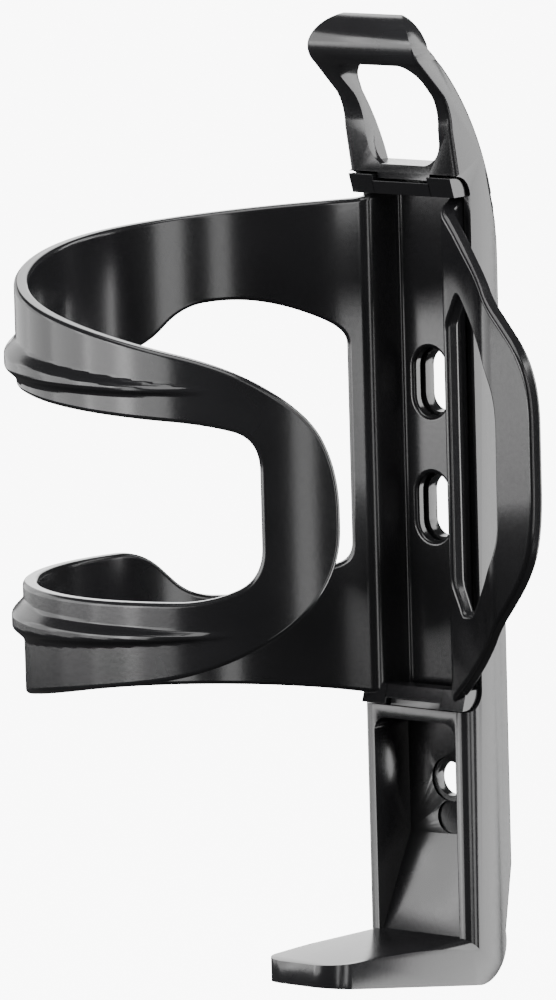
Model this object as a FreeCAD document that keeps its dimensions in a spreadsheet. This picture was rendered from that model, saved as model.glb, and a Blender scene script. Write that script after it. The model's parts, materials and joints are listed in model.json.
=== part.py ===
import FreeCAD, Part
import math
import os
import Sketcher
from FreeCAD import Placement, Rotation, Vector

# Side-entry bottle cage of two moulded pieces that the frame bolts clamp together.
# Origin: centre of the lower bolt hole on the mounting face. X is to the right, seen from
# the bottle, -Y points from the bicycle tube to the bottle, +Z is up along the tube.

doc = FreeCAD.newDocument("bottle_cage")

SIZES = {
    # how far a cutting outline runs past the material, and slack of a half circle
    "past": 3.0,
    "slack": 0.001,
    # bottle and bolts
    "bottle_rad": 35.4,
    "bottle_stand": 10.1,
    "axis_depth": "=bottle_rad + bottle_stand",
    "slot_low": 44.0,
    "slot_high": 64.0,
    "slot_half": 2.85,
    "slot_run": 2.2,
    "hole_rad": 2.75,
    "hole_seat_rad": 3.6,
    # back frame, side view
    "half_width": 11.0,
    "floor_thick": 2.1,
    "foot_edge_rad": 2.3,
    "back_edge_rad": 0.6,
    "back_high": 85.0,
    "heel_back": 2.0,
    "heel_round": 6.4,
    "heel_taper": 12.0,
    "shelf_top": 23.7,
    "shelf_reach": 40.7,
    "shelf_thick": 3.6,
    "heel_drop": 31.3,
    "front_depth": "=recess_depth + recess_round + recess_lip",
    "joint_low": 12.6,
    "joint_high": 97.8,
    "recess_depth": 6.7,
    "recess_round": 3.3,
    "recess_lip": 0.5,
    "joint_lip": 0.1,
    "neck_depth": "=recess_depth + recess_round - neck_step",
    "neck_step": 0.2,
    "leg_depth": "=neck_depth + leg_lean",
    "leg_lean": 1.3,
    "leg_height": 105.0,
    "throat_depth": "=leg_depth + throat_lean",
    "throat_lean": 1.8,
    "throat_height": 110.5,
    "throat_rad": 9.0,
    "lip_depth": 19.8,
    "lip_height": 118.4,
    "lip_under": 1.5,
    "lip_drop": 2.7,
    "lip_rad": 3.5,
    "hook_thick": 4.0,
    "hook_plate": 2.2,
    "hook_lean": 1.5,
    "hook_hollow_rise": 4.5,
    "hook_hollow_half": 9.2,
    "crown_height": 123.5,
    "crown_depth": 16.2,
    "crown_nose_rad": 4.6,
    "neck_back_rad": 44.0,
    # back frame, hollows
    "hollow_half_low": 8.3,
    "hollow_round": 2.3,
    "hollow_half_mid": 9.7,
    "bar_low": 2.0,
    "bar_high": 1.3,
    "ramp_top": 9.0,
    "ramp_foot": 9.6,
    "ramp_root": 0.5,
    "tab_half": 5.3,
    "tab_step": 1.0,
    # hook outline and window
    "crown_half": 6.0,
    "crown_side": 116.5,
    "crown_rad": 7.5,
    "crown_run": 6.0,
    "window_half_low": 4.4,
    "window_side_left": 7.3,
    "window_side_right": 9.0,
    "window_side_low": 103.0,
    "window_side_high": 112.8,
    "window_top": 115.6,
    "window_rad_low": 4.4,
    "window_rad_high": 3.0,
    "window_low_inset": 0.8,
    "window_top_inset": 2.6,
    # shelf outline
    "shelf_root_half": "=half_width",
    "shelf_tip_half": 8.0,
    "shelf_tip_depth": 36.6,
    "shelf_nose_half": 3.4,
    "shelf_nose_rad": 5.5,
    # stamp recess
    "stamp_drop": 6.2,
    "stamp_rad": 2.6,
    "stamp_depth": 0.5,
    "seat_depth": 0.4,
    # cage arm
    "arm_wall": 2.4,
    "fit_gap": 0.25,
    "plate_back": 2.2,
    "arm_slot_grow": 0.4,
    "end_overlap": 1.0,
    "channel_low": "=end_plate_low - end_overlap",
    "channel_high": "=end_plate_high + end_overlap",
    "channel_half": 9.3,
    "floor_left": 5.4,
    "floor_right": 6.4,
    "front_left": 7.0,
    "front_right": 8.0,
    "left_rise": 0.6,
    "right_rise": 0.9,
    "end_half": 10.4,
    "end_lean": 0.5,
    "end_margin": 0.1,
    "end_plate_low": "=joint_low + recess_round + end_margin",
    "end_plate_high": "=joint_high - recess_round - joint_lip - end_margin",
    "root_ang": 100.5,
    "arm_end_ang": 329.0,
    # wing
    "wing_face_ang": 63.0,
    "crease_ang": 51.4,
    "flare_ang": -15.0,
    "flare_len": 16.0,
    "wing_root_side": 8.2,
    "wing_margin": 0.7,
    "wing_top": 93.4,
    "wing_low": 13.6,
    "wing_reach": 19.1,
    "window_left": -7.2,
    "wing_cut_near": 10.0,
    "wing_cut_run": 50.0,
    "ramp_tab_depth": 8.4,
    "ramp_tab_half": 4.6,
    "ramp_tab_rise": 0.6,
    "root_top": 93.6,
    "root_low": 14.3,
    "band_top": 89.5,
    "band_low": 18.2,
    "bridge_mid": 51.5,
    "gap_ang": 107.7,
    "gap_end_ang": 310.3,
    "gap_top": 77.1,
    "gap_low": 30.0,
    "gap_step_top": 69.5,
    "gap_step_low": 38.6,
    "rib_upper": 74.1,
    "rib_lower": 32.1,
    "rib_half": 1.2,
    "rib_slope": 3.4,
    "rib_start_ang": 172.0,
    "rib_full_ang": 198.0,
    "rib_upper_end_ang": 300.0,
    "rib_lower_end_ang": 305.0,
    "rib_drift": 2.4,
    "rib_rise": 1.9,
    "rib_root": 0.6,
    "rib_tip": 0.8,
    "rib_crest_tip": 0.4,
    "rib_point": 9.0,
    "rib_bend": 2.0,
}

sheet = doc.addObject("Spreadsheet::Sheet", "sheet")
for row, (alias, number) in enumerate(SIZES.items(), start=1):
    sheet.set("A%d" % row, alias)
    sheet.set("B%d" % row, str(number))
    sheet.setAlias("B%d" % row, alias)
doc.recompute()


def size(alias):
    """Present value of one cell of the sheet."""
    return float(sheet.get(alias))


def terms(text):
    """Split a sum such as "joint_low + bar_low - 1.5" into signed words."""
    sign = 1
    for word in text.split():
        if word in "+-":
            sign = 1 if word == "+" else -1
            continue
        if word.startswith("-"):
            sign = -sign
            word = word[1:]
        yield sign, word
        sign = 1


def value(text):
    """Value of a sum of cell names and plain numbers."""
    return sum(sign * (size(word) if word in SIZES else float(word)) for sign, word in terms(text))


def formula(text):
    """The same sum as an expression on the sheet."""
    words = []
    for sign, word in terms(text):
        name = "sheet." + word if word in SIZES else word
        words.append(("-" if sign < 0 else "+") + " " + name)
    return "0 " + " ".join(words)


def bind(thing, **sums):
    """Bind properties of an object to sums of cells."""
    for name, text in sums.items():
        thing.setExpression(name, formula(text))


def plane_of(body, role):
    """Origin plane of a body by its role."""
    return next(item for item in body.Origin.OriginFeatures if item.Role == role)


def new_body(name):
    body = doc.addObject("PartDesign::Body", name)
    body.Label = name
    return body


def new_sketch(body, name, role="YZ_Plane"):
    sketch = body.newObject("Sketcher::SketchObject", name)
    sketch.AttachmentSupport = (plane_of(body, role), [""])
    sketch.MapMode = "FlatFace"
    return sketch


def pin_point(sketch, edge, end, across, up):
    """Hold one end of an edge at a place given by two sums."""
    for kind, text, axis in (("DistanceX", across, -2), ("DistanceY", up, -1)):
        if abs(value(text)) < 1e-9:
            sketch.addConstraint(Sketcher.Constraint("PointOnObject", edge, end, axis))
            continue
        rule = Sketcher.Constraint(kind, -1, 1, edge, end, value(text))
        index = sketch.addConstraint(rule)
        sketch.setExpression("Constraints[%d]" % index, formula(text))


def draw_loop(sketch, corners):
    """Closed outline. A corner is (across, up) or (across, up, radius, side) when the edge
    that leaves it is an arc that bulges to its left (side +1) or to its right (side -1)."""
    count = len(corners)
    ends = []
    for index, corner in enumerate(corners):
        start = Vector(value(corner[0]), value(corner[1]), 0)
        after = corners[(index + 1) % count]
        finish = Vector(value(after[0]), value(after[1]), 0)
        if len(corner) == 2:
            edge = sketch.addGeometry(Part.LineSegment(start, finish), False)
            ends.append((edge, 1, 2))
            continue
        radius = value(corner[2])
        side = corner[3]
        chord = finish - start
        left = Vector(-chord.y, chord.x, 0).normalize()
        sagitta = radius - math.sqrt(radius ** 2 - (chord.Length / 2) ** 2)
        middle = (start + finish) * 0.5 + left * (side * sagitta)
        arc = Part.Arc(start, middle, finish)
        edge = sketch.addGeometry(arc, False)
        ends.append((edge, 1, 2) if side < 0 else (edge, 2, 1))
        rule = Sketcher.Constraint("Radius", edge, radius)
        number = sketch.addConstraint(rule)
        sketch.setExpression("Constraints[%d]" % number, formula(corner[2]))
    for index, corner in enumerate(corners):
        edge, first, last = ends[index]
        before, _, before_last = ends[index - 1]
        sketch.addConstraint(Sketcher.Constraint("Coincident", before, before_last, edge, first))
        pin_point(sketch, edge, first, corner[0], corner[1])


def draw_circle(sketch, across, up, radius):
    centre = Vector(value(across), value(up), 0)
    edge = sketch.addGeometry(Part.Circle(centre, Vector(0, 0, 1), value(radius)), False)
    pin_point(sketch, edge, 3, across, up)
    index = sketch.addConstraint(Sketcher.Constraint("Radius", edge, value(radius)))
    sketch.setExpression("Constraints[%d]" % index, formula(radius))


def pad_both(body, name, sketch, half):
    """Pad a sketch by half on each side of its plane."""
    pad = body.newObject("PartDesign::Pad", name)
    pad.Profile = sketch
    pad.SideType = "Symmetric"
    pad.setExpression("Length", "2 * (%s)" % formula(half))
    return pad


def pocket_both(body, name, sketch, half):
    """Cut a sketch by half on each side of its plane."""
    pocket = body.newObject("PartDesign::Pocket", name)
    pocket.Profile = sketch
    pocket.SideType = "Symmetric"
    pocket.setExpression("Length", "2 * (%s)" % formula(half))
    return pocket


# ---------------------------------------------------------------- back frame
def side_outline(body):
    """Side view of the whole backbone: heel, shelf, recess for the arm, neck and hook."""
    sketch = new_sketch(body, "side_view")
    draw_loop(sketch, [
        ("-heel_back - heel_round", "-heel_drop", "heel_round + slack", -1),
        ("-heel_back", "-heel_drop + heel_round"),
        ("0", "-heel_drop + heel_round + heel_taper"),
        ("0", "back_high", "neck_back_rad", -1),
        ("-lip_depth + hook_thick", "lip_height"),
        ("-crown_depth", "crown_height", "crown_nose_rad", -1),
        ("-lip_depth", "lip_height", "lip_rad", -1),
        ("-lip_depth + lip_under", "lip_height - lip_drop"),
        ("-throat_depth", "throat_height", "throat_rad", 1),
        ("-leg_depth", "leg_height"),
        ("-neck_depth", "joint_high"),
        ("-recess_depth - recess_round", "joint_high - joint_lip", "recess_round", 1),
        ("-recess_depth", "joint_high - recess_round - joint_lip"),
        ("-recess_depth", "joint_low + recess_round", "recess_round", 1),
        ("-recess_depth - recess_round", "joint_low"),
        ("-front_depth", "joint_low"),
        ("-front_depth", "-shelf_top"),
        ("-shelf_reach", "-shelf_top"),
        ("-shelf_reach", "-shelf_top - shelf_thick"),
    ])
    return pad_both(body, "backbone", sketch, "half_width")


def long_edges(shape, keep):
    """Names of the edges in the two side faces whose middle passes the test."""
    names = []
    for index, edge in enumerate(shape.Edges, start=1):
        ends = [vertex.Point for vertex in edge.Vertexes]
        middle = edge.valueAt((edge.FirstParameter + edge.LastParameter) / 2)
        aside = all(abs(abs(point.x) - size("half_width")) < 1e-6 for point in ends)
        if aside and abs(abs(middle.x) - size("half_width")) < 1e-6 and keep(middle):
            names.append("Edge%d" % index)
    return names


def round_edges(body, name, base, keep, radius):
    """Round the side edges that pass the test."""
    doc.recompute()
    fillet = body.newObject("PartDesign::Fillet", name)
    fillet.Base = (base, long_edges(base.Shape, keep))
    bind(fillet, Radius=radius)
    return fillet


def soften(body, backbone):
    """Round the long edges of the backbone: front of the foot, back, and the whole hook."""
    def foot_front(middle):
        ahead = middle.y < -size("front_depth") + 0.1
        return ahead and -size("shelf_top") < middle.z < size("joint_low") - 0.1

    def back_and_hook(middle):
        behind = middle.y > -size("heel_back") - 0.1 or middle.z > size("joint_high")
        return behind and middle.z > -size("heel_drop") + size("heel_round")

    front = round_edges(body, "foot_edges", backbone, foot_front, "foot_edge_rad")
    return round_edges(body, "back_edges", front, back_and_hook, "back_edge_rad")


def hollow_out(body, name, corners, half):
    """Cut a hollow between the side walls, drawn in side view."""
    sketch = new_sketch(body, name + "_view")
    draw_loop(sketch, corners)
    pocket_both(body, name, sketch, half)


def cut_front(body, name, loops, depth):
    """Cut loops drawn in front view straight through in Y."""
    sketch = new_sketch(body, name + "_view", "XZ_Plane")
    for corners in loops:
        draw_loop(sketch, corners)
    pocket_both(body, name, sketch, depth)


def slot_loop(centre, grow="0"):
    """Upright slot with round ends, grown all round."""
    low = centre + " - slot_run"
    high = centre + " + slot_run"
    return [
        ("-slot_half - " + grow, high),
        ("-slot_half - " + grow, low, "slot_half + slack + " + grow, -1),
        ("slot_half + " + grow, low),
        ("slot_half + " + grow, high, "slot_half + slack + " + grow, -1),
    ]


def crown_corner(sign):
    """Piece that rounds one upper corner of the hook, in front view."""
    side = sign + "half_width"
    outside = side + (" - past" if sign else " + past")
    return [
        (side, "crown_side - crown_run"),
        (side, "crown_side", "crown_rad", 1 if sign == "-" else -1),
        (sign + "crown_half", "crown_height"),
        (sign + "crown_half", "crown_height + past"),
        (outside, "crown_height + past"),
        (outside, "crown_side - crown_run"),
    ]


def sink(body, name, up, radius, front, depth):
    """Round recess in a face that looks toward the bottle."""
    sketch = new_sketch(body, name + "_view", "XZ_Plane")
    bind(sketch, **{"AttachmentOffset.Base.z": front})
    draw_circle(sketch, "0", up, radius)
    pocket = body.newObject("PartDesign::Pocket", name)
    pocket.Profile = sketch
    bind(pocket, Length=depth)


def shelf_sides(body):
    """Taper the shelf in plan and round its nose."""
    sketch = new_sketch(body, "shelf_plan", "XY_Plane")
    for sign in ("-", ""):
        out = sign + "shelf_root_half" + (" - past" if sign else " + past")
        bulge = -1 if sign else 1
        draw_loop(sketch, [
            (sign + "shelf_root_half", "-front_depth"),
            (sign + "shelf_tip_half", "-shelf_tip_depth", "shelf_nose_rad", bulge),
            (sign + "shelf_nose_half", "-shelf_reach"),
            (sign + "shelf_nose_half", "-shelf_reach - past"),
            (out, "-shelf_reach - past"),
            (out, "-front_depth"),
        ])
    pocket = body.newObject("PartDesign::Pocket", "shelf_taper")
    pocket.Profile = sketch
    bind(pocket, Length="heel_drop + past")


def make_back_frame():
    body = new_body("back_frame")
    soften(body, side_outline(body))
    hollow = new_sketch(body, "low_hollow_view", "XZ_Plane")
    bind(hollow, **{"AttachmentOffset.Base.z": "floor_thick"})
    draw_loop(hollow, [
        ("hollow_half_low", "joint_low - bar_low - hollow_round", "hollow_round + slack", -1),
        ("hollow_half_low - hollow_round", "joint_low - bar_low"),
        ("-hollow_half_low + hollow_round", "joint_low - bar_low", "hollow_round + slack", -1),
        ("-hollow_half_low", "joint_low - bar_low - hollow_round"),
        ("-hollow_half_low", "-shelf_top"),
        ("hollow_half_low", "-shelf_top"),
    ])
    cut = body.newObject("PartDesign::Pocket", "low_hollow")
    cut.Profile = hollow
    cut.Reversed = True
    bind(cut, Length="front_depth + past")
    ramp = new_sketch(body, "ramp_view")
    draw_loop(ramp, [
        ("-floor_thick + ramp_root", "-shelf_top - ramp_root"),
        ("-ramp_foot", "-shelf_top - ramp_root"),
        ("-ramp_foot", "-shelf_top"),
        ("-floor_thick", "-ramp_top"),
        ("-floor_thick + ramp_root", "-ramp_top"),
    ])
    pad_both(body, "ramp", ramp, "hollow_half_low")
    hollow_out(body, "mid_hollow", [
        ("-front_depth - past", "joint_low"),
        ("-floor_thick", "joint_low"),
        ("-floor_thick", "joint_high"),
        ("-front_depth - past", "joint_high"),
    ], "hollow_half_mid")
    hollow_out(body, "hook_hollow", [
        ("past", "joint_high + bar_high"),
        ("-leg_depth + hook_plate", "joint_high + bar_high"),
        ("-leg_depth + hook_plate", "leg_height"),
        ("-throat_depth + hook_plate - hook_lean", "throat_height + hook_hollow_rise"),
        ("past", "throat_height + hook_hollow_rise"),
    ], "hook_hollow_half")
    cut_front(body, "hook_window", [[
        ("-window_half_low", "joint_high + bar_high"),
        ("window_half_low", "joint_high + bar_high", "window_rad_low", -1),
        ("window_side_right - window_low_inset", "window_side_low"),
        ("window_side_right", "window_side_high", "window_rad_high", -1),
        ("window_side_right - window_top_inset", "window_top"),
        ("-window_side_left + window_top_inset", "window_top", "window_rad_high", -1),
        ("-window_side_left", "window_side_high"),
        ("-window_side_left + window_low_inset", "window_side_low", "window_rad_low", -1),
    ]], "axis_depth")
    cut_front(body, "crown_corners", [crown_corner("-"), crown_corner("")], "axis_depth")
    cut_front(body, "bolt_slots", [slot_loop("slot_low"), slot_loop("slot_high")], "front_depth")
    hole = new_sketch(body, "hole_view", "XZ_Plane")
    draw_circle(hole, "0", "0", "hole_rad")
    pocket_both(body, "bolt_hole", hole, "front_depth")
    sink(body, "bolt_seat", "0", "hole_seat_rad", "floor_thick", "seat_depth")
    sink(body, "stamp", "-stamp_drop", "stamp_rad", "floor_thick", "stamp_depth")
    shelf_sides(body)
    for name, low, high in (("tab_high", "joint_high - tab_step", "joint_high"),
                            ("tab_low", "joint_low", "joint_low + tab_step")):
        sketch = new_sketch(body, name + "_view")
        draw_loop(sketch, [
            ("-neck_depth", low),
            ("-recess_depth", low),
            ("-recess_depth", high),
            ("-neck_depth", high),
        ])
        pad_both(body, name, sketch, "tab_half")
    return body


# ---------------------------------------------------------------- cage arm
def channel_plan(body):
    """Plan of the bolt channel: a trough whose two edges meet the bottle circle."""
    sketch = new_sketch(body, "channel_plan", "XY_Plane")
    bind(sketch, **{"AttachmentOffset.Base.z": "channel_low"})
    draw_loop(sketch, [
        ("-channel_half", "-axis_depth + bottle_rad - left_rise"),
        ("-front_left", "-axis_depth + bottle_rad - left_rise"),
        ("-floor_left", "-floor_thick - fit_gap - plate_back"),
        ("floor_right", "-floor_thick - fit_gap - plate_back"),
        ("front_right", "-axis_depth + bottle_rad - right_rise"),
        ("channel_half", "-axis_depth + bottle_rad - right_rise"),
        ("channel_half", "-floor_thick - fit_gap"),
        ("-channel_half", "-floor_thick - fit_gap"),
    ])
    pad = body.newObject("PartDesign::Pad", "channel")
    pad.Profile = sketch
    bind(pad, Length="channel_high - channel_low")


def make_channel():
    body = new_body("channel_core")
    channel_plan(body)
    slots = [slot_loop(centre, "arm_slot_grow") for centre in ("slot_low", "slot_high")]
    cut_front(body, "arm_slots", slots, "front_depth")
    return body


def end_plate(name, corners, tab):
    """End plate that closes the channel and seats in the backbone's recess."""
    body = new_body(name)
    sketch = new_sketch(body, name + "_view")
    draw_loop(sketch, corners)
    pad_both(body, name + "_pad", sketch, "end_half")
    hollow_out(body, name + "_notch", [
        ("-front_depth - past", tab[0]),
        ("-recess_depth + past", tab[0]),
        ("-recess_depth + past", tab[1]),
        ("-front_depth - past", tab[1]),
    ], "tab_half + fit_gap")
    return body


def make_top_end():
    face = "-front_depth - end_lean"
    back = "-recess_depth - fit_gap"
    top = "joint_high - joint_lip - fit_gap"
    return end_plate("top_end", [
        ("-front_depth + end_lean", "end_plate_high"),
        (back, "end_plate_high"),
        (back, "joint_high - recess_round - joint_lip", "recess_round - fit_gap", -1),
        ("-recess_depth - recess_round", top),
        (face, top),
    ], ("joint_high - tab_step - fit_gap", "joint_high + past"))


def make_bottom_end():
    face = "-front_depth - end_lean"
    back = "-recess_depth - fit_gap"
    low = "joint_low + fit_gap"
    body = end_plate("bottom_end", [
        ("-front_depth + end_lean", "end_plate_low"),
        (face, low),
        ("-recess_depth - recess_round", low, "recess_round - fit_gap", -1),
        (back, "joint_low + recess_round"),
        (back, "end_plate_low"),
    ], ("joint_low - past", "joint_low + tab_step + fit_gap"))
    hollow_out(body, "ramp", [
        ("-front_depth - past", "joint_low + tab_step + fit_gap + ramp_tab_rise"),
        (face, "joint_low + tab_step + fit_gap + ramp_tab_rise"),
        ("-ramp_tab_depth", "end_plate_low + ramp_root"),
        ("-front_depth - past", "end_plate_low + ramp_root"),
    ], "ramp_tab_half")
    return body


def rounded(corners):
    """Bends of a closed outline: start, corner and end of each rounding."""
    bends = []
    for index, (across, up, cut) in enumerate(corners):
        here = Vector(across, up, 0)
        after = corners[(index + 1) % len(corners)]
        to_last = Vector(corners[index - 1][0], corners[index - 1][1], 0) - here
        to_next = Vector(after[0], after[1], 0) - here
        first = here + to_last * min(cut / to_last.Length, 0.5)
        last = here + to_next * min(cut / to_next.Length, 0.5)
        bends.append((first, here, last))
    return bends


def edges_on_cylinder(surface, corners):
    """Edges on the bottle cylinder. A corner is (degrees, height, rounding length)."""
    arc = size("bottle_rad")
    flat = [(math.radians(angle) * arc, up, cut) for angle, up, cut in corners]

    def on_surface(point):
        return FreeCAD.Base.Vector2d(point.x / arc, point.y)

    edges = []
    bends = rounded(flat)
    for index, bend in enumerate(bends):
        curve = Part.Geom2d.BezierCurve2d()
        curve.setPoles([on_surface(point) for point in bend])
        edges.append(curve.toShape(surface))
        start = bends[(index + 1) % len(bends)][0]
        if (start - bend[2]).Length > 1e-6:
            run = Part.Geom2d.Line2dSegment(on_surface(bend[2]), on_surface(start))
            edges.append(run.toShape(surface))
    return edges


def curved_wall(inner, outer, corners, outer_corners=None):
    """Solid between two radii about the bottle axis, inside a closed outline."""
    faces = []
    rims = []
    for radius, outline in ((inner, corners), (outer, outer_corners or corners)):
        surface = Part.Cylinder()
        surface.Radius = radius
        surface.Center = Vector(0, -size("axis_depth"), 0)
        edges = edges_on_cylinder(surface, outline)
        face = Part.Face(surface, Part.Wire(edges))
        face.validate()
        faces.append(face)
        rims.append(edges)
    for low, high in zip(*rims):
        faces.append(Part.makeRuledSurface(low, high))
    shell = Part.makeShell(faces)
    shell.sewShape()
    solid = Part.makeSolid(shell)
    if solid.Volume < 0:
        solid.reverse()
    return solid


def shaped(name, shape):
    """Part::Feature that holds a shape worked out from the sheet."""
    item = doc.addObject("Part::Feature", name)
    item.Shape = shape
    item.Placement = Placement(Vector(0, 0, 0), Rotation())
    return item


def make_arm_shell():
    """C-shaped arm: upper and lower band joined by a bridge at the free end."""
    inner = size("bottle_rad")
    outer = inner + size("arm_wall")
    shell = curved_wall(inner, outer, [
        (size("root_ang"), size("root_top"), 1.0),
        (186.0, size("band_top"), 12.0),
        (263.0, size("band_top") - 8.5, 10.0),
        (303.0, size("band_top") - 13.8, 8.0),
        (323.0, size("band_top") - 21.5, 7.0),
        (size("arm_end_ang"), size("bridge_mid") + 8.0, 6.0),
        (size("arm_end_ang"), size("bridge_mid") - 7.0, 6.0),
        (318.0, size("band_low") + 16.6, 8.0),
        (295.0, size("band_low") + 9.6, 9.0),
        (238.0, size("band_low") + 4.4, 10.0),
        (200.0, size("band_low"), 12.0),
        (166.0, size("band_low") - 1.4, 10.0),
        (size("root_ang"), size("root_low"), 1.0),
    ])
    opening = curved_wall(inner - size("past"), outer + size("past"), [
        (size("gap_ang"), size("gap_top") - 5.6, 1.5),
        (111.5, size("gap_top") - 3.7, 2.5),
        (124.0, size("gap_top") - 0.8, 4.0),
        (136.0, size("gap_top") + 0.5, 4.0),
        (150.0, size("gap_top") - 0.2, 4.0),
        (160.5, size("gap_step_top") + 1.6, 3.5),
        (175.0, size("gap_step_top") - 0.2, 4.0),
        (234.0, size("gap_step_top") - 0.4, 6.0),
        (297.0, size("gap_step_top") - 2.8, 5.0),
        (size("gap_end_ang"), size("gap_step_top") - 5.0, 5.0),
        (size("gap_end_ang"), size("gap_step_low") + 4.2, 5.0),
        (297.0, size("gap_step_low") + 0.8, 5.0),
        (262.0, size("gap_step_low") + 0.3, 8.0),
        (163.5, size("gap_step_low") - 0.2, 4.5),
        (150.0, size("gap_low") + 0.4, 4.0),
        (135.0, size("gap_low"), 4.0),
        (size("gap_ang"), size("gap_low") + 6.0, 3.0),
    ])
    return shaped("arm_shell", shell.cut(opening))


def make_rib(name, middle, finish, drift):
    """Raised rib along the outside of a band, with sloping sides and two pointed ends."""
    outer = size("bottle_rad") + size("arm_wall")
    start = size("rib_start_ang")
    full = size("rib_full_ang")
    half = size("rib_half")
    bend = size("rib_bend")

    def spindle(inset, half_tip, half_full, cut):
        """Outline with two tips and its full height near its start."""
        return [
            (start + inset, middle - half_tip, cut),
            (start + inset, middle + half_tip, cut),
            (full, middle + half_full, bend),
            (finish - inset, middle + drift + half_tip, cut),
            (finish - inset, middle + drift - half_tip, cut),
            (full, middle - half_full, bend),
        ]

    tip = size("rib_tip")
    crest_tip = size("rib_crest_tip")
    base = spindle(0.0, tip, half + size("rib_slope"), tip / 2)
    crest = spindle(size("rib_point"), crest_tip, half, crest_tip / 2)
    low = outer - size("rib_root")
    return shaped(name, curved_wall(low, outer + size("rib_rise"), base, crest))


def turned(angle):
    """Horizontal unit vector at an angle from +X."""
    return Vector(math.cos(math.radians(angle)), math.sin(math.radians(angle)), 0)


def wing_root():
    """Angle at which the wing leaves the right wall of the channel."""
    return math.degrees(math.acos(size("wing_root_side") / size("bottle_rad")))


def wing_plan():
    """Plan of the wing: bottle circle up to the crease, then a flat flare."""
    axis = Vector(0, -size("axis_depth"), 0)
    near = size("bottle_rad")
    far = near + size("arm_wall")
    flare = turned(size("flare_ang"))
    out = turned(size("flare_ang") + 90)
    crease = axis + turned(size("crease_ang")) * near
    shifted = crease + out * size("arm_wall")
    along = (shifted - axis).dot(flare)
    across = (shifted - axis).dot(out)
    outer_crease = shifted + flare * (math.sqrt(far ** 2 - across ** 2) - along)
    reach = flare * size("flare_len")
    root = turned(wing_root())
    turn = outer_crease - axis
    middle = (wing_root() + math.degrees(math.atan2(turn.y, turn.x))) / 2
    bend = (wing_root() + size("crease_ang")) / 2
    edges = [
        Part.Arc(axis + root * near, axis + turned(bend) * near, crease).toShape(),
        Part.LineSegment(crease, crease + reach).toShape(),
        Part.LineSegment(crease + reach, shifted + reach).toShape(),
        Part.LineSegment(shifted + reach, outer_crease).toShape(),
        Part.Arc(outer_crease, axis + turned(middle) * far, axis + root * far).toShape(),
        Part.LineSegment(axis + root * far, axis + root * near).toShape(),
    ]
    return Part.Face(Part.Wire(edges))


def wing_prism(corners):
    """Prism square to the middle of the wing, from an outline seen along the bottle radius."""
    axis = Vector(0, -size("axis_depth"), 0)
    facing = turned(size("wing_face_ang"))
    side = turned(size("wing_face_ang") - 90)

    def place(point):
        return axis + facing * size("wing_cut_near") + side * point.x + Vector(0, 0, point.y)

    edges = []
    bends = rounded(corners)
    for index, bend in enumerate(bends):
        curve = Part.BezierCurve()
        curve.setPoles([place(point) for point in bend])
        edges.append(curve.toShape())
        start = bends[(index + 1) % len(bends)][0]
        if (start - bend[2]).Length > 1e-6:
            edges.append(Part.LineSegment(place(bend[2]), place(start)).toShape())
    return Part.Face(Part.Wire(edges)).extrude(facing * size("wing_cut_run"))


def make_wing():
    """Guide wing on the open side, with a window beside the channel."""
    low = size("channel_low") - size("past")
    high = size("channel_high") + size("past")
    plan = wing_plan()
    plan.translate(Vector(0, 0, low))
    sheet_solid = plan.extrude(Vector(0, 0, high - low))
    spread = math.radians(wing_root() - size("wing_face_ang"))
    outer = size("bottle_rad") + size("arm_wall")
    left = -outer * math.sin(spread) - size("wing_margin")
    outline = wing_prism([
        (left, size("wing_top"), 0.5),
        (7.4, size("wing_top") - 14.0, 6.0),
        (16.4, size("wing_top") - 22.0, 4.0),
        (size("wing_reach"), size("wing_top") - 29.5, 5.0),
        (size("wing_reach"), size("wing_low") + 31.5, 7.0),
        (16.2, size("wing_low") + 23.5, 7.0),
        (7.6, size("wing_low") + 13.6, 6.0),
        (left, size("wing_low"), 0.5),
    ])
    window = wing_prism([
        (size("window_left"), size("wing_low") + 19.8, 1.0),
        (size("window_left"), size("wing_top") - 19.0, 1.0),
        (-4.2, size("wing_top") - 14.0, 0.8),
        (6.0, size("wing_top") - 24.3, 5.0),
        (9.4, size("wing_top") - 29.5, 5.0),
        (9.2, size("wing_low") + 27.4, 4.0),
        (1.6, size("wing_low") + 19.1, 4.0),
        (-1.6, size("wing_low") + 15.3, 0.6),
        (-4.4, size("wing_low") + 15.0, 0.6),
    ])
    return shaped("wing", sheet_solid.common(outline).cut(window))


def make_cage_arm():
    pieces = [
        make_channel(),
        make_top_end(),
        make_bottom_end(),
        make_arm_shell(),
        make_rib("upper_rib", size("rib_upper"), size("rib_upper_end_ang"), -size("rib_drift")),
        make_rib("lower_rib", size("rib_lower"), size("rib_lower_end_ang"), size("rib_drift")),
        make_wing(),
    ]
    arm = doc.addObject("Part::MultiFuse", "cage_arm")
    arm.Label = "cage_arm"
    arm.Shapes = pieces
    arm.Refine = False
    return arm


def main():
    nodes = [make_back_frame(), make_cage_arm()]
    doc.recompute()
    for item in doc.Objects:
        if "Invalid" in item.State or "Error" in item.State:
            raise RuntimeError("%s did not compute" % item.Label)
    for node in nodes:
        if node.Shape.isNull() or not node.Shape.isValid() or len(node.Shape.Solids) != 1:
            raise RuntimeError("%s is not one valid solid" % node.Label)
    os.makedirs("parts", exist_ok=True)
    for node in nodes:
        node.Shape.exportStep("parts/%s.step" % node.Label)
        print(node.Label, round(node.Shape.Volume, 1), "mm3", node.Shape.BoundBox)


main()
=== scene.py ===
import json
import math

import bmesh
import bpy
from mathutils import Matrix, Vector
from mathutils.geometry import delaunay_2d_cdt


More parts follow.
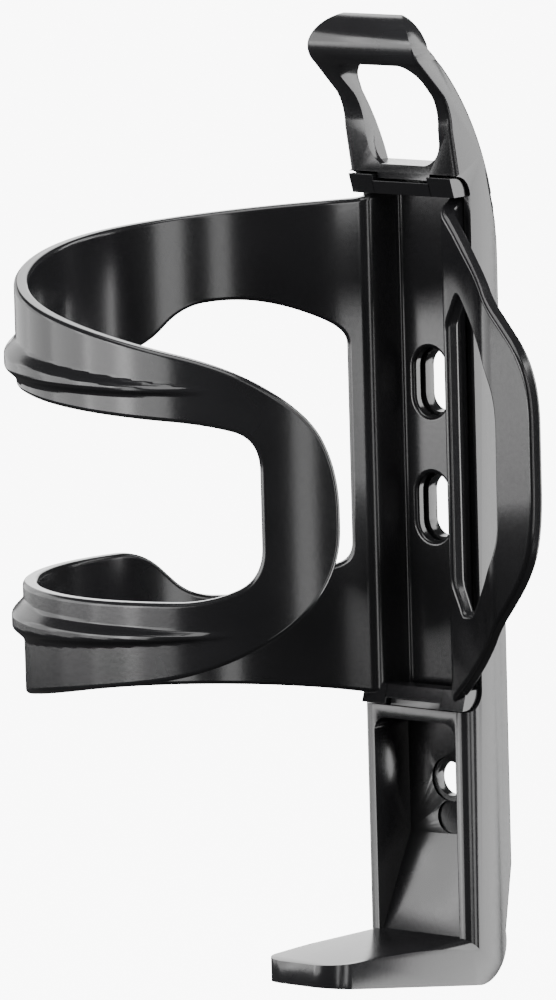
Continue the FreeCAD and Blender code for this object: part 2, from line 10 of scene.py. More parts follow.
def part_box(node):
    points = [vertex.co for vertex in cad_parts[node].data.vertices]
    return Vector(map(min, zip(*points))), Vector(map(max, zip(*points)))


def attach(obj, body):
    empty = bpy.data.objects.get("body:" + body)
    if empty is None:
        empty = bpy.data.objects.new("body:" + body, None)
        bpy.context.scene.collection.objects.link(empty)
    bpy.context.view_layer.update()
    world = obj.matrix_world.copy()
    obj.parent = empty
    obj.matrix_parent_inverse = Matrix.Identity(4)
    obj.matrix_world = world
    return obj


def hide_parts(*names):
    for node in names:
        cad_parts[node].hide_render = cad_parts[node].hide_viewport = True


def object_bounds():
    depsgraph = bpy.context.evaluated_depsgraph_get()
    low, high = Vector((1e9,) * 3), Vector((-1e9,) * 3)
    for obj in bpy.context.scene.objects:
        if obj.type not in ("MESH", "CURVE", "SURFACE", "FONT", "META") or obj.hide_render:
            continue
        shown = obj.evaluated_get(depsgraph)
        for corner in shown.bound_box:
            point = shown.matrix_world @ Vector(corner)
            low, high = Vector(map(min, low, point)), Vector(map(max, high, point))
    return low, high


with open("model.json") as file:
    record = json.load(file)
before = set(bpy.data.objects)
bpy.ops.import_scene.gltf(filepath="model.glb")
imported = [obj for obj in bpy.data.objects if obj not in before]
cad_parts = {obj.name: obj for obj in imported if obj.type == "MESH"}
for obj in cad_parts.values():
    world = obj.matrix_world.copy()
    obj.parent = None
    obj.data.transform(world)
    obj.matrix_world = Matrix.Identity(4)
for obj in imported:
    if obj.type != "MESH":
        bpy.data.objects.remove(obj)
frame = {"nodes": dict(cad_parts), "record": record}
cad_low, cad_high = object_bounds()

MM = 0.001
arm_low, arm_high = [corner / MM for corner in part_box("cage_arm")]
mounts = {mount["name"]: mount for mount in frame["record"]["mounts"]}

# Camera: a long lens, turned and tilted as the photographer stood.
AZIMUTH = math.radians(40.84)
ELEVATION = math.radians(7.68)
ROLL = math.radians(-1.54)
DISTANCE = 1.492
LENS = 342.7
FILM_WIDTH = 36
FARTHEST = 60
AIM = Vector((0, -27.5, 51.26)) * MM
SHIFT_LEFT = 9.441 * MM
SHIFT_DOWN = 3.288 * MM

# Pale backdrop, which only the camera sees, and the dim room that the plastic mirrors.
PAPER_WHITE = 9.0
ROOM_DIM = 0.05
FLOOR_HALF = 30.0
FLOOR_DROP = 0.3

# Softboxes: azimuth from +X and elevation in degrees, width and height in metres, strength,
# and distance in metres. The left ones stand edge to edge as one curved wall.
LEFT_WALL = ((160, 1.5), (186, 1.9), (212, 3.6), (236, 5.6), (255, 4.6))
LEFT_SHAPE = (8.5, 0.5, 0.62)
LEFT_DISTANCE = 1.0
SOFTBOXES = {
    "right_wall": (49.0, 5.0, 0.8, 1.9, 6.5, 1.2),
    "front_dim": (330.0, 8.0, 0.2, 1.5, 3.6, 1.1),
    "front_bright": (357.0, 8.0, 0.3, 1.5, 4.0, 1.1),
    "back_edge": (131.0, 22.0, 0.5, 1.0, 3.5, 1.2),
    "overhead": (300.0, 78.0, 0.9, 0.9, 4.0, 1.0),
}

# Black nylon: colour and roughness of each piece, mottle, grain.
ARM_COLOUR = (0.012, 0.012, 0.013)
ARM_ROUGH = 0.17
FRAME_COLOUR = (0.014, 0.014, 0.015)
FRAME_ROUGH = 0.19
GRAIN = 0.25
GRAIN_DEPTH = 0.02
GRAIN_SCALE = 1500.0
FLOW_SCALE = 42.0
NYLON_IOR = 1.52

# The arm is measured in millimetres: angles from +X about the bottle axis, heights from the
# lower bolt hole.
BOTTLE_RAD = 35.4
AXIS_DEPTH = -mounts["bottle"]["pos_m"][1] / MM
WALL = 2.4

# Plan of the arm's sheet: free end, end of its even bend, channel, wing.
ARM_END = 329.0
ARM_BEND = 116.0
ROOT = 101.4
OUTER_ROOT = 104.3
CHANNEL_HALF = 9.3
PLATE = 2.2
FLOOR_BACK = -arm_high.y
FLOOR_FRONT = FLOOR_BACK + PLATE
FLOOR_LEFT = -5.4
FLOOR_RIGHT = 6.4
SLOT_SPAN = 4.3
RIGHT_ROOT = 76.6
OUTER_RIGHT_ROOT = 75.7
CREASE = 51.4
OUTER_CREASE = 54.2
FLARE = -15.0
FLARE_LENGTH = 15.6
WING_FACE = 63.0

# Rounding of the plan at its joints, on the bottle side and on the frame side.
INNER_CUTS = {2: 1.7, 3: 0.6, 6: 0.6, 7: 0.9, 8: 2.2}
OUTER_CUTS = {2: 0.6, 3: 0.9, 6: 0.9, 7: 0.6, 8: 2.2}
BENDS = tuple(INNER_CUTS)

# Slots for the upper bolt, at the places that the record gives.
SLOT_ROW = mounts["bolt_slots"]
SLOT_MIDDLE = SLOT_ROW["pos_m"][2] / MM
SLOT_APART = SLOT_ROW["dims"]["spacing_y_mm"]
SLOTS = (SLOT_MIDDLE - SLOT_APART / 2, SLOT_MIDDLE + SLOT_APART / 2)
SLOT_HALF = 3.25
SLOT_RUN = 2.2
SLOT_STEPS = 16

# Ribs: height of the middle, drift towards the free end, and angle of the last point.
RIBS = ((74.1, -2.4, 300.0), (32.1, 2.4, 305.0))
RIB_START = 172.0
RIB_FULL = 198.0
RIB_RISE = 1.85
RIB_FLAT = 1.0
RIB_SLOPE = 3.4
RIB_TIP_SLOPE = 0.5
RIB_BLEND = 0.35
RIB_TAPER = 4

# End plates that close the channel.
END_HALF = 10.4
END_FRONT = -11.0
END_LEAN = 0.5
END_BACK = -6.95
END_ROUND = 0.95
END_HEIGHT = 3.15
SEAT_CENTRE = -10.0
SEAT_RAD = 3.05
SEAT_STEPS = 6
TOP_EDGE = arm_high.z
TOP_INNER = TOP_EDGE - END_HEIGHT
BOTTOM_EDGE = arm_low.z
BOTTOM_INNER = BOTTOM_EDGE + END_HEIGHT
CHANNEL_LAP = 1.0
CHANNEL_LOW = BOTTOM_INNER - CHANNEL_LAP
CHANNEL_HIGH = TOP_INNER + CHANNEL_LAP
NOTCH_HALF = 5.55
NOTCH_STEP = 1.0
NOTCH_LAP = 0.4
NOTCH_ROUND = 0.3

# Fineness of the sheet's mesh: rims, even field, bends, ribs, and the strip left clear
# inside each rim.
RIM_RAD = 0.75
RIM_STEPS = 4
EDGE_STEP = 0.6
EDGE_FEWEST = 3
EDGE_MOST = 0.48
FIELD_STEP = 1.1
BEND_STEP = 0.3
BEND_REACH = 2.4
RIB_STEP = 0.35
RIB_ROWS = 18
CLEAR = 0.45
FIRST_COLUMN = 0.05
NUDGE = 0.05

# Softening of the backbone's edges.
SAME_SPOT = 0.004
FLAT_WITHIN = math.radians(0.6)
SOFT_EDGE = 0.45
SOFT_STEPS = 3
SOFT_ABOVE = math.radians(28)


# ------------------------------------------------------------------ camera
def camera_axes():
    """Right, up and backward directions of the camera."""
    back = Vector((
        math.sin(AZIMUTH) * math.cos(ELEVATION),
        -math.cos(AZIMUTH) * math.cos(ELEVATION),
        math.sin(ELEVATION),
    ))
    side = Vector((math.cos(AZIMUTH), math.sin(AZIMUTH), 0))
    top = back.cross(side)
    right = side * math.cos(ROLL) + top * math.sin(ROLL)
    return right, back.cross(right), back


def make_camera():
    right, up, back = camera_axes()
    data = bpy.data.cameras.new("camera")
    data.lens = LENS
    data.sensor_width = FILM_WIDTH
    data.clip_end = FARTHEST
    camera = bpy.data.objects.new("camera", data)
    place = AIM + back * DISTANCE - right * SHIFT_LEFT - up * SHIFT_DOWN
    turn = Matrix((right, up, back)).transposed().to_4x4()
    camera.matrix_world = Matrix.Translation(place) @ turn
    bpy.context.scene.collection.objects.link(camera)
    bpy.context.scene.camera = camera


# ------------------------------------------------------------------ plan of the arm
def on_circle(angle, radius):
    """Plan point at an angle about the bottle axis."""
    turn = math.radians(angle)
    return Vector((radius * math.cos(turn), radius * math.sin(turn) - AXIS_DEPTH))


def on_bend(bend, share):
    """Point of a rounding drawn from its start, its corner and its end."""
    first, middle, last = bend
    return first * (1 - share) ** 2 + middle * 2 * share * (1 - share) + last * share ** 2


class Arc:
    """Piece of a plan curve: an arc about the bottle axis."""

    def __init__(self, radius, start, finish):
        self.radius = radius
        self.start = start
        self.finish = finish
        self.length = abs(math.radians(finish - start)) * radius

    def at(self, share):
        return on_circle(self.start + (self.finish - self.start) * share, self.radius)


class Run:
    """Piece of a plan curve: a straight run."""

    def __init__(self, start, finish):
        self.start = Vector(start)
        self.finish = Vector(finish)
        self.length = (self.finish - self.start).length

    def at(self, share):
        return self.start.lerp(self.finish, share)


class Plan:
    """Two plan curves, the bottle side and the frame side, cut into matching pieces.
    A place along them is the length along the bottle side."""

    def __init__(self, pieces, cuts):
        self.pieces = pieces
        self.joints = [0.0]
        for inner, _ in pieces:
            self.joints.append(self.joints[-1] + inner.length)
        self.cuts = cuts
        self.length = self.joints[-1]

    def raw(self, place, side):
        """Point of one side, with sharp corners."""
        index = 0
        while index < len(self.pieces) - 1 and place > self.joints[index + 1]:
            index += 1
        piece = self.pieces[index]
        return piece[side].at((place - self.joints[index]) / piece[0].length)

    def at(self, place, side):
        """Point of one side, with the corners rounded."""
        for index, cut in self.cuts[side].items():
            corner = self.joints[index]
            if abs(place - corner) < cut:
                share = (place - corner + cut) / (2 * cut)
                bend = [self.raw(corner + offset, side) for offset in (-cut, 0, cut)]
                return on_bend(bend, share)
        return self.raw(place, side)


def arm_plan():
    """Plan of the sheet from the free end of the arm, through the channel, to the wing."""
    far = BOTTLE_RAD + WALL
    left_front = on_circle(ROOT, BOTTLE_RAD)
    right_front = on_circle(RIGHT_ROOT, BOTTLE_RAD)
    turn = math.radians(FLARE)
    flare = Vector((math.cos(turn), math.sin(turn))) * FLARE_LENGTH
    crease = on_circle(CREASE, BOTTLE_RAD)
    outer_crease = on_circle(OUTER_CREASE, far)
    out = Vector((-flare.y, flare.x)).normalized() * WALL
    floor = [(x, -FLOOR_FRONT) for x in (FLOOR_LEFT, -SLOT_SPAN, SLOT_SPAN, FLOOR_RIGHT)]
    back = [(x, -FLOOR_BACK) for x in (-CHANNEL_HALF, -SLOT_SPAN, SLOT_SPAN, CHANNEL_HALF)]
    pieces = [
        (Arc(BOTTLE_RAD, ARM_END, ARM_BEND), Arc(far, ARM_END, ARM_BEND)),
        (Arc(BOTTLE_RAD, ARM_BEND, ROOT), Arc(far, ARM_BEND, OUTER_ROOT)),
        (Run(left_front, floor[0]), Run(on_circle(OUTER_ROOT, far), back[0])),
        (Run(floor[0], floor[1]), Run(back[0], back[1])),
        (Run(floor[1], floor[2]), Run(back[1], back[2])),
        (Run(floor[2], floor[3]), Run(back[2], back[3])),
        (Run(floor[3], right_front), Run(back[3], on_circle(OUTER_RIGHT_ROOT, far))),
        (Arc(BOTTLE_RAD, RIGHT_ROOT, CREASE), Arc(far, OUTER_RIGHT_ROOT, OUTER_CREASE)),
        (Run(crease, crease + flare), Run(outer_crease, crease + out + flare)),
    ]
    return Plan(pieces, (INNER_CUTS, OUTER_CUTS))


PLAN = arm_plan()


def arm_place(angle):
    """Place along the plan of an angle on the arm."""
    return math.radians(ARM_END - angle) * BOTTLE_RAD


def wing_place(across):
    """Place along the plan of a distance across the wing, seen along its middle radius."""
    edge = BOTTLE_RAD * math.sin(math.radians(WING_FACE - CREASE))
    crease = PLAN.joints[-2]
    if across < edge:
        angle = WING_FACE - math.degrees(math.asin(across / BOTTLE_RAD))
        return crease - math.radians(angle - CREASE) * BOTTLE_RAD
    slant = math.cos(math.radians(90 - WING_FACE + FLARE))
    return crease + (across - edge) / slant


# ------------------------------------------------------------------ flat outlines
def rounded(corners, step=EDGE_STEP):
    """Closed outline through corners (place, height, rounding length), as close points."""
    points = []
    spots = [Vector((across, up)) for across, up, _ in corners]
    for index, (_, _, cut) in enumerate(corners):
        here = spots[index]
        to_last = spots[index - 1] - here
        to_next = spots[(index + 1) % len(spots)] - here
        first = here + to_last * min(cut / to_last.length, EDGE_MOST)
        last = here + to_next * min(cut / to_next.length, EDGE_MOST)
        count = max(EDGE_FEWEST, round(((here - first).length + (last - here).length) / step))
        points += [on_bend((first, here, last), number / count) for number in range(count + 1)]
        ahead = spots[(index + 1) % len(spots)]
        back = corners[(index + 1) % len(corners)][2]
        from_next = here - ahead
        stop = ahead + from_next * min(back / from_next.length, EDGE_MOST)
        gap = (stop - last).length
        count = int(gap / step)
        points += [last.lerp(stop, number / count) for number in range(1, count)]
    return without_repeats(points, step / 4)


def without_repeats(points, least):
    """Closed outline without points that lie nearer to their neighbour than the least."""
    kept = []
    for point in points:
        if not kept or (point - kept[-1]).length > least:
            kept.append(point)
    if (kept[0] - kept[-1]).length <= least:
        kept.pop()
    return kept


def on_arm(rows):
    """Corners given by the angle on the arm."""
    return [(arm_place(angle), up, cut) for angle, up, cut in rows]


def on_wing(rows):
    """Corners given by the distance across the wing."""
    return [(wing_place(across), up, cut) for across, up, cut in rows]


def outer_outline():
    """Rim of the whole sheet: arm, channel and wing, anticlockwise from the free end."""
    bottom = on_arm([
        (ARM_END, 44.5, 6.0), (318.0, 35.0, 8.0), (295.0, 27.9, 9.0), (238.0, 22.6, 10.0),
        (200.0, 18.3, 12.0), (166.0, 16.8, 10.0), (ROOT + 2.0, 14.4, 1.5),
    ])
    channel_foot = [(PLAN.joints[3], CHANNEL_LOW, 0.3), (PLAN.joints[6], CHANNEL_LOW, 0.3)]
    wing = on_wing([
        (-8.6, 13.9, 0.8), (7.6, 27.4, 6.0), (16.4, 37.2, 6.0), (18.9, 45.2, 6.0),
        (18.9, 65.4, 4.5), (16.2, 71.8, 4.0), (7.4, 79.6, 6.0), (-1.5, 86.0, 3.0), (-8.6, 92.9, 0.8),
    ])
    channel_head = [(PLAN.joints[6], CHANNEL_HIGH, 0.3), (PLAN.joints[3], CHANNEL_HIGH, 0.3)]
    top = on_arm([
        (ROOT + 2.0, 93.5, 1.5), (140.0, 91.6, 8.0), (186.0, 89.4, 12.0), (263.0, 80.9, 10.0),
        (303.0, 75.6, 8.0), (322.5, 67.9, 7.0), (ARM_END, 58.5, 6.0),
    ])
    return rounded(bottom + channel_foot + wing + channel_head + top)


def arm_opening():
    """The gap between the two bands, from the root of the arm to its bridge."""
    return rounded(on_arm([
        (107.7, 71.5, 1.5), (111.5, 73.4, 2.5), (124.0, 76.3, 4.0), (136.0, 77.6, 4.0),
        (150.0, 76.9, 4.0), (160.5, 71.1, 3.5), (175.0, 69.3, 4.0), (234.0, 69.1, 6.0),
        (297.0, 66.7, 5.0), (310.3, 64.5, 5.0), (310.3, 42.8, 5.0), (297.0, 39.4, 5.0),
        (262.0, 38.9, 8.0), (163.5, 38.4, 4.5), (150.0, 30.4, 4.0), (135.0, 30.0, 4.0),
        (107.7, 36.0, 2.5),
    ]))


def wing_window():
    """The window between the channel and the guide rail of the wing."""
    return rounded(on_wing([
        (-7.2, 33.4, 1.0), (-7.2, 74.4, 1.0), (-4.2, 79.4, 0.8), (6.0, 69.1, 5.0),
        (9.4, 63.9, 5.0), (9.2, 41.0, 4.0), (1.6, 32.7, 4.0), (-1.6, 28.9, 0.6), (-4.4, 28.6, 0.6),
    ]))


def slot_outline(middle):
    """Upright slot with round ends in the floor of the channel."""
    centre = (PLAN.joints[4] + PLAN.joints[5]) / 2
    points = []
    for turn, up in ((0, SLOT_RUN), (180, -SLOT_RUN)):
        for number in range(SLOT_STEPS + 1):
            angle = math.radians(turn + 180 * number / SLOT_STEPS)
            points.append(Vector((
                centre + SLOT_HALF * math.cos(angle),
                middle + up + SLOT_HALF * math.sin(angle),
            )))
    return points


# ------------------------------------------------------------------ folded sheet
def smooth_step(share):
    """Curve from 0 to 1 that starts and ends level."""
    share = min(max(share, 0.0), 1.0)
    return share * share * (3 - 2 * share)


def soft_ramp(share):
    """Straight slope from 0 to 1 whose two ends are blended."""
    if share <= 0 or share >= 1:
        return min(max(share, 0.0), 1.0)
    blend = RIB_BLEND
    if share < blend:
        return share * share / (2 * blend) / (1 - blend)
    if share > 1 - blend:
        return 1 - (1 - share) ** 2 / (2 * blend) / (1 - blend)
    return (share - blend / 2) / (1 - blend)


def rib_height(place, up):
    """How far the ribs stand out of the frame side at a spot."""
    angle = ARM_END - math.degrees(place / BOTTLE_RAD)
    height = 0.0
    for middle, drift, finish in RIBS:
        if not RIB_START < angle < finish:
            continue
        along = (angle - RIB_FULL) / (finish - RIB_FULL)
        share = 1 - along if along > 0 else (angle - RIB_START) / (RIB_FULL - RIB_START)
        centre = middle + drift * max(along, 0.0)
        flat = RIB_FLAT * share
        slope = RIB_TIP_SLOPE + (RIB_SLOPE - RIB_TIP_SLOPE) * share
        away = abs(up - centre) - flat
        crest = RIB_RISE * smooth_step(share * RIB_TAPER)
        height = max(height, crest * soft_ramp(1 - away / slope))
    return height


def sheet_point(place, up, side):
    """Point of the folded sheet: side 0 faces the bottle, side 1 faces the frame."""
    flat = PLAN.at(place, side)
    rise = rib_height(place, up) if side else 0.0
    if rise > 0:
        away = (flat - Vector((0, -AXIS_DEPTH))).normalized()
        flat = flat + away * rise
    return Vector((flat.x, flat.y, up))


def sheet_normal(place, up, side):
    """Normal of one face of the sheet, pointing out of the plastic."""
    along = sheet_point(place + NUDGE, up, side) - sheet_point(place - NUDGE, up, side)
    rise = sheet_point(place, up + NUDGE, side) - sheet_point(place, up - NUDGE, side)
    normal = along.cross(rise).normalized()
    return normal if side == 0 else -normal


def turned_loop(loop, hole):
    """The outline with the sheet's material on its left."""
    area = sum(a.x * b.y - b.x * a.y for a, b in zip(loop, loop[1:] + loop[:1]))
    return loop[::-1] if (area > 0) == hole else loop


def loop_outward(loop):
    """Unit vectors that point out of the sheet's material at each point of a rim."""
    outward = []
    for index, point in enumerate(loop):
        before = (point - loop[index - 1]).normalized()
        after = (loop[(index + 1) % len(loop)] - point).normalized()
        along = (before + after).normalized()
        outward.append(Vector((along.y, -along.x)))
    return outward


class SheetMesh:
    """Collects points, faces and exact normals of the sheet."""

    def __init__(self):
        self.points = []
        self.normals = []
        self.faces = []

    def add(self, point, normal):
        self.points.append(point)
        self.normals.append(normal)
        return len(self.points) - 1

    def ring(self, loop, outward, inset, depth, tilt, side):
        """One ring of a rim: moved in from the edge and sunk from a face of the sheet."""
        ring = []
        for point, out in zip(loop, outward):
            spot = point - out * inset
            here = sheet_point(spot.x, spot.y, side)
            there = sheet_point(spot.x, spot.y, 1 - side)
            through = (there - here).normalized()
            ahead = sheet_point(spot.x + out.x * NUDGE, spot.y + out.y * NUDGE, side)
            edgeways = (ahead - here).normalized()
            face = sheet_normal(spot.x, spot.y, side)
            normal = (face * math.cos(tilt) + edgeways * math.sin(tilt)).normalized()
            ring.append(self.add(here + through * depth, normal))
        return ring

    def rim(self, loop):
        """Rounded rim from the bottle side to the frame side; gives its two end rings."""
        outward = loop_outward(loop)
        rings = []
        for side in (0, 1):
            half = []
            for number in range(RIM_STEPS + 1):
                tilt = math.pi / 2 * number / RIM_STEPS
                inset = RIM_RAD * (1 - math.sin(tilt))
                depth = RIM_RAD * (1 - math.cos(tilt))
                half.append(self.ring(loop, outward, inset, depth, tilt, side))
            rings.append(half)
        rows = rings[0] + rings[1][::-1]
        count = len(loop)
        for first, second in zip(rows, rows[1:]):
            for index in range(count):
                after = (index + 1) % count
                face = (first[after], first[index], second[index], second[after])
                self.faces.append(face)
        return rings[0][0], rings[1][0]


def inset_loop(loop):
    """The line where a rim's rounding meets the even face of the sheet."""
    return [point - out * RIM_RAD for point, out in zip(loop, loop_outward(loop))]


def spans(place, rims):
    """Stretches of height that lie in the sheet's material at one place across it."""
    crossings = []
    for rim in rims:
        last = rim[-1]
        for here in rim:
            if (here.x > place) != (last.x > place):
                share = (place - here.x) / (last.x - here.x)
                crossings.append(here.y + (last.y - here.y) * share)
            last = here
    crossings.sort()
    return list(zip(crossings[::2], crossings[1::2]))


def columns():
    """Places across the sheet: close at the bends, wide on the round stretches."""
    places = []
    place = FIRST_COLUMN
    bends = [PLAN.joints[index] for index in BENDS]
    while place < PLAN.length:
        places.append(place)
        closest = min(abs(place - bend) for bend in bends)
        place += BEND_STEP if closest < BEND_REACH else FIELD_STEP
    return places


def field_points(rims):
    """Points spread over the sheet's material, away from its rims."""
    low = min(point.y for point in rims[0])
    high = max(point.y for point in rims[0])
    heights = [low + FIELD_STEP * row for row in range(int((high - low) / FIELD_STEP) + 1)]
    for middle, _, _ in RIBS:
        heights += [middle + RIB_STEP * step for step in range(-RIB_ROWS, RIB_ROWS + 1)]
    heights.sort()
    points = []
    for place in columns():
        close = [spot.y for rim in rims for spot in rim if abs(spot.x - place) < CLEAR]
        last = low - FIELD_STEP
        for bottom, top in spans(place, rims):
            for up in heights:
                if not bottom + CLEAR < up < top - CLEAR or up - last < RIB_STEP * 0.9:
                    continue
                if any(abs(up - other) < CLEAR for other in close):
                    continue
                points.append(Vector((place, up)))
                last = up
    return points


def material_only(triangles, walls):
    """Triangles on the left of the rim edges, found by spreading from the rims inwards."""
    owner = {}
    for number, (a, b, c) in enumerate(triangles):
        owner[a, b] = owner[b, c] = owner[c, a] = number
    waiting = [owner[wall] for wall in walls if wall in owner]
    found = set()
    while waiting:
        number = waiting.pop()
        if number in found:
            continue
        found.add(number)
        a, b, c = triangles[number]
        for edge in ((a, b), (b, c), (c, a)):
            across = (edge[1], edge[0])
            if edge not in walls and across not in walls and across in owner:
                waiting.append(owner[across])
    return [triangles[number] for number in sorted(found)]


def make_sheet():
    """The whole folded sheet with its rims."""
    mesh = SheetMesh()
    outlines = [(outer_outline(), False), (arm_opening(), True), (wing_window(), True)]
    outlines += [(slot_outline(middle), True) for middle in SLOTS]
    rims = []
    flat = []
    edges = []
    ends = ([], [])
    for outline, hole in outlines:
        loop = turned_loop(outline, hole)
        inner_ring, outer_ring = mesh.rim(loop)
        rims.append(inset_loop(loop))
        first = len(flat)
        count = len(loop)
        flat += rims[-1]
        edges += [(first + index, first + (index + 1) % count) for index in range(count)]
        ends[0].extend(inner_ring)
        ends[1].extend(outer_ring)
    known = len(flat)
    flat += field_points(rims)
    spots, _, triangles, origins, _, _ = delaunay_2d_cdt(flat, edges, [], 0, 1e-5)
    labels = [min(origin) if origin else known for origin in origins]
    found = {label: number for number, label in enumerate(labels) if label < known}
    walls = {(found[first], found[last]) for first, last in edges}
    kept = material_only(triangles, walls)
    for side in (0, 1):
        names = []
        for spot, label in zip(spots, labels):
            if label < known:
                names.append(ends[side][label])
                continue
            point = sheet_point(spot.x, spot.y, side)
            names.append(mesh.add(point, sheet_normal(spot.x, spot.y, side)))
        for triangle in kept:
            corners = tuple(names[corner] for corner in triangle)
            mesh.faces.append(corners[::-1] if side else corners)
    return mesh


# ------------------------------------------------------------------ end plates of the channel
def seat_profile(edge_up, centre_up, front_up, sign):
    """Side view of an end plate: square at its front, round where it seats in the frame."""
    points = [(END_FRONT + 2 * END_LEAN, front_up), (END_FRONT, edge_up)]
    for number in range(SEAT_STEPS + 1):
        angle = math.pi / 2 * (1 - number / SEAT_STEPS)
        points.append((
            SEAT_CENTRE + SEAT_RAD * math.cos(angle),
            centre_up + sign * SEAT_RAD * math.sin(angle),
        ))
    points.append((END_BACK, front_up))
    return points


def cut_profile(points, level, sign):
    """The part of a side view that lies on the inner side of a level."""
    kept = []
    for index, (across, up) in enumerate(points):
        last_across, last_up = points[index - 1]
        was_in = (level - last_up) * sign > 0
        is_in = (level - up) * sign > 0
        if was_in != is_in:
            share = (level - last_up) / (up - last_up)
            kept.append((last_across + (across - last_across) * share, level))
        if is_in:
            kept.append((across, up))
    return kept


def add_block(mesh, profile, low, high, radius):
    """Add a block with rounded edges: a side view drawn from low to high in X."""
    block = bmesh.new()
    near_side = [block.verts.new((low, across, up)) for across, up in profile]
    far_side = [block.verts.new((high, across, up)) for across, up in profile]
    block.faces.new(near_side)
    block.faces.new(far_side[::-1])
    count = len(profile)
    for index in range(count):
        after = (index + 1) % count
        block.faces.new((near_side[after], near_side[index], far_side[index], far_side[after]))
    bmesh.ops.recalc_face_normals(block, faces=block.faces)
    sharp = [edge for edge in block.edges if edge.calc_face_angle(0) > math.radians(25)]
    bmesh.ops.bevel(block, geom=sharp, offset=radius, segments=3, profile=0.5, affect="EDGES",
                    clamp_overlap=True)
    block.verts.index_update()
    names = []
    for vert in block.verts:
        normal = sum((face.normal * face.calc_area() for face in vert.link_faces), Vector())
        names.append(mesh.add(vert.co.copy(), normal.normalized()))
    for face in block.faces:
        mesh.faces.append(tuple(names[vert.index] for vert in face.verts))
    block.free()


def add_end_plates(mesh):
    """Upper and lower end plate: two full blocks and a lower one between them."""
    top = seat_profile(TOP_EDGE, TOP_EDGE - SEAT_RAD, TOP_INNER, 1)
    bottom = seat_profile(BOTTOM_EDGE, BOTTOM_EDGE + SEAT_RAD, BOTTOM_INNER, -1)
    for low, high in ((-END_HALF, -NOTCH_HALF), (NOTCH_HALF, END_HALF)):
        add_block(mesh, top, low, high, END_ROUND)
        add_block(mesh, bottom, low, high, END_ROUND)
    low_top = cut_profile(top, TOP_EDGE - NOTCH_STEP, 1)
    low_bottom = cut_profile(bottom, BOTTOM_EDGE + NOTCH_STEP, -1)
    reach = NOTCH_HALF + NOTCH_LAP
    for profile in (low_top, low_bottom):
        add_block(mesh, profile, -reach, reach, NOTCH_ROUND)


# ------------------------------------------------------------------ pieces
def make_arm(material):
    """The moulded arm: folded sheet with ribs, and the two end plates of its channel."""
    mesh = make_sheet()
    add_end_plates(mesh)
    data = bpy.data.meshes.new("moulded_arm")
    data.from_pydata([point * MM for point in mesh.points], [], mesh.faces)
    data.shade_smooth()
    data.normals_split_custom_set_from_vertices(mesh.normals)
    data.materials.append(material)
    piece = bpy.data.objects.new("moulded_arm", data)
    bpy.context.scene.collection.objects.link(piece)
    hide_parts("cage_arm")
    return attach(piece, "arm")


def make_backbone(material):
    """The backbone with every sharp edge of the mould softened."""
    data = frame["nodes"]["back_frame"].data.copy()
    data.name = "moulded_backbone"
    data.materials.clear()
    data.materials.append(material)
    shape = bmesh.new()
    shape.from_mesh(data)
    bmesh.ops.remove_doubles(shape, verts=shape.verts, dist=SAME_SPOT * MM)
    bmesh.ops.dissolve_limit(shape, angle_limit=FLAT_WITHIN, verts=shape.verts,
                             edges=shape.edges, use_dissolve_boundaries=False)
    shape.to_mesh(data)
    shape.free()
    data.shade_smooth()
    piece = bpy.data.objects.new("moulded_backbone", data)
    bpy.context.scene.collection.objects.link(piece)
    soft = piece.modifiers.new("soft_edges", "BEVEL")
    soft.width = SOFT_EDGE * MM
    soft.segments = SOFT_STEPS
    soft.limit_method = "ANGLE"
    soft.angle_limit = SOFT_ABOVE
    soft.use_clamp_overlap = True
    soft.harden_normals = True
    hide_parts("back_frame")
    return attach(piece, "backbone")


# ------------------------------------------------------------------ materials
def black_plastic(name, colour, rough):
    """Glossy moulded nylon: black with a faint flow mottle and a fine grain."""
    material = bpy.data.materials.new(name)
    material.use_nodes = True
    nodes = material.node_tree.nodes
    links = material.node_tree.links
    shader = nodes["Principled BSDF"]
    place = nodes.new("ShaderNodeTexCoord")
    flow = nodes.new("ShaderNodeTexNoise")
    flow.inputs["Scale"].default_value = FLOW_SCALE
    flow.inputs["Detail"].default_value = 3.0
    tint = nodes.new("ShaderNodeValToRGB")
    for stop, position, gain in zip(tint.color_ramp.elements, (0.3, 0.7), (0.7, 1.35)):
        stop.position = position
        stop.color = (*[part * gain for part in colour], 1)
    fine = nodes.new("ShaderNodeTexNoise")
    fine.inputs["Scale"].default_value = GRAIN_SCALE
    fine.inputs["Detail"].default_value = 2.0
    spread = nodes.new("ShaderNodeMapRange")
    spread.inputs["To Min"].default_value = rough * 0.8
    spread.inputs["To Max"].default_value = rough * 1.25
    bump = nodes.new("ShaderNodeBump")
    bump.inputs["Strength"].default_value = GRAIN
    bump.inputs["Distance"].default_value = GRAIN_DEPTH * MM
    for texture in (flow, fine):
        links.new(place.outputs["Object"], texture.inputs["Vector"])
    links.new(flow.outputs["Fac"], tint.inputs["Fac"])
    links.new(tint.outputs["Color"], shader.inputs["Base Color"])
    links.new(fine.outputs["Fac"], spread.inputs["Value"])
    links.new(spread.outputs["Result"], shader.inputs["Roughness"])
    links.new(fine.outputs["Fac"], bump.inputs["Height"])
    links.new(bump.outputs["Normal"], shader.inputs["Normal"])
    shader.inputs["IOR"].default_value = NYLON_IOR
    return material


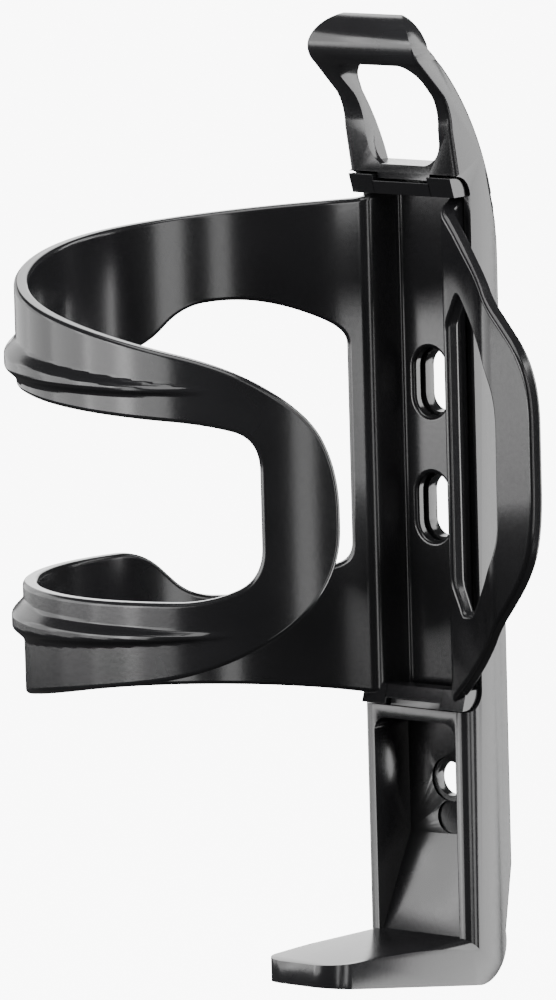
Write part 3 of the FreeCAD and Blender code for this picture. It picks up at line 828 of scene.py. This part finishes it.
# ------------------------------------------------------------------ studio
def make_world():
    """White to the eye, dim in the plastic."""
    world = bpy.data.worlds.new("studio")
    world.use_nodes = True
    bpy.context.scene.world = world
    nodes = world.node_tree.nodes
    links = world.node_tree.links
    dim = nodes["Background"]
    dim.inputs["Color"].default_value = (ROOM_DIM, ROOM_DIM, ROOM_DIM, 1)
    white = nodes.new("ShaderNodeBackground")
    white.inputs["Strength"].default_value = PAPER_WHITE
    path = nodes.new("ShaderNodeLightPath")
    mix = nodes.new("ShaderNodeMixShader")
    links.new(path.outputs["Is Camera Ray"], mix.inputs["Fac"])
    links.new(dim.outputs["Background"], mix.inputs[1])
    links.new(white.outputs["Background"], mix.inputs[2])
    links.new(mix.outputs["Shader"], nodes["World Output"].inputs["Surface"])


def make_floor():
    """Plain pale floor, far enough below to carry no shadow."""
    data = bpy.data.meshes.new("floor")
    level = cad_low[2] - FLOOR_DROP
    signs = ((-1, -1), (1, -1), (1, 1), (-1, 1))
    corners = [(x * FLOOR_HALF, y * FLOOR_HALF, level) for x, y in signs]
    data.from_pydata(corners, [], [(0, 1, 2, 3)])
    material = bpy.data.materials.new("floor")
    material.use_nodes = True
    shader = material.node_tree.nodes["Principled BSDF"]
    shader.inputs["Base Color"].default_value = (0.9, 0.9, 0.9, 1)
    shader.inputs["Roughness"].default_value = 0.9
    shader.inputs["Emission Color"].default_value = (1, 1, 1, 1)
    shader.inputs["Emission Strength"].default_value = PAPER_WHITE
    data.materials.append(material)
    floor = bpy.data.objects.new("floor", data)
    floor.visible_glossy = False
    floor.visible_diffuse = False
    bpy.context.scene.collection.objects.link(floor)


def softbox(name, azimuth, elevation, width, height, strength, distance):
    """Soft rectangular light that faces the object; azimuth is counted from +X."""
    turn = math.radians(azimuth)
    rise = math.radians(elevation)
    centre = Vector((sum(pair) / 2 for pair in zip(cad_low, cad_high)))
    toward = Vector((math.cos(turn) * math.cos(rise), math.sin(turn) * math.cos(rise), math.sin(rise)))
    data = bpy.data.lights.new(name, "AREA")
    data.shape = "RECTANGLE"
    data.size = width
    data.size_y = height
    data.energy = strength * width * height * math.pi
    light = bpy.data.objects.new(name, data)
    light.location = centre + toward * distance
    light.rotation_euler = toward.to_track_quat("Z", "Y").to_euler()
    light.visible_camera = False
    bpy.context.scene.collection.objects.link(light)


def make_lights():
    """Softboxes by azimuth, so that each face of the plastic mirrors the one it should."""
    for azimuth, strength in LEFT_WALL:
        softbox("left_%d" % azimuth, azimuth, *LEFT_SHAPE, strength, LEFT_DISTANCE)
    for name, setting in SOFTBOXES.items():
        softbox(name, *setting)


make_camera()
make_world()
make_floor()
make_lights()
make_arm(black_plastic("arm_plastic", ARM_COLOUR, ARM_ROUGH))
make_backbone(black_plastic("frame_plastic", FRAME_COLOUR, FRAME_ROUGH))
bpy.context.view_layer.update()
